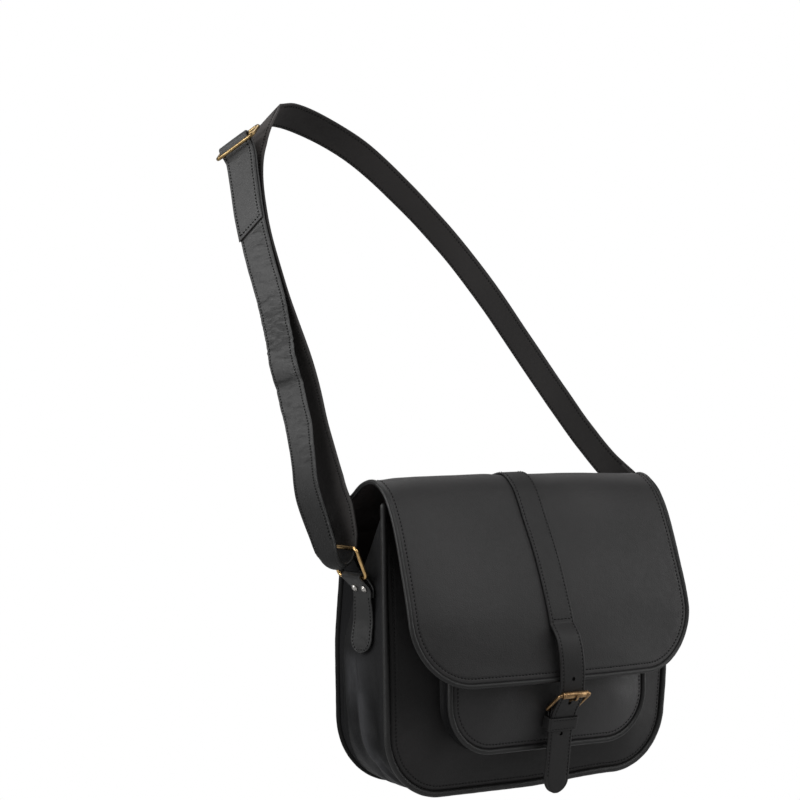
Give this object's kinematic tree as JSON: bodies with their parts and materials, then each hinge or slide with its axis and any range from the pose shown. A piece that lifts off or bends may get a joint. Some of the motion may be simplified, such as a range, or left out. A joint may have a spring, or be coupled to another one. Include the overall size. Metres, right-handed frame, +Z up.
{
  "type": "leather shoulder bag",
  "caption": "Soft black leather shoulder bag in its carried form: curved piped flap, box pocket, strap-and-buckle closure, side rings and a long adjustable shoulder strap.",
  "frame": {"origin": "under the shoulder strap, where it lies on the shoulder and the bag hangs from it", "axes": "+Z up, the bag's front faces -Y, X runs along the bag's width; the left ring is at -X"},
  "size_m": [0.3835, 0.4293, 0.6551],
  "materials": {
    "leather": "matte, fine grain",
    "gusset_leather": "matte, soft",
    "edge_leather": "satin",
    "strap_leather": "matte, creased",
    "brass": "antique, polished",
    "steel": "nickel, worn"
  },
  "bodies": {
    "root": {"back_panel": "leather", "front_panel": "leather", "gusset": "gusset_leather", "piping_front": "edge_leather", "piping_back": "edge_leather", "flap": "leather", "flap_piping": "edge_leather", "pocket_front": "leather", "pocket_gusset": "gusset_leather", "pocket_piping": "edge_leather", "flap_strap": "strap_leather", "buckle_tab": "strap_leather", "keeper": "strap_leather", "buckle_frame": "brass", "buckle_roller": "brass", "buckle_prong": "brass", "ring_left": "brass", "side_tab_left": "strap_leather", "rivet_left_front": "steel", "rivet_left_back": "steel", "ring_right": "brass", "side_tab_right": "strap_leather", "rivet_right_front": "steel", "rivet_right_back": "steel", "shoulder_strap": "strap_leather", "strap_slider": "brass"}
  },
  "joints": []
}
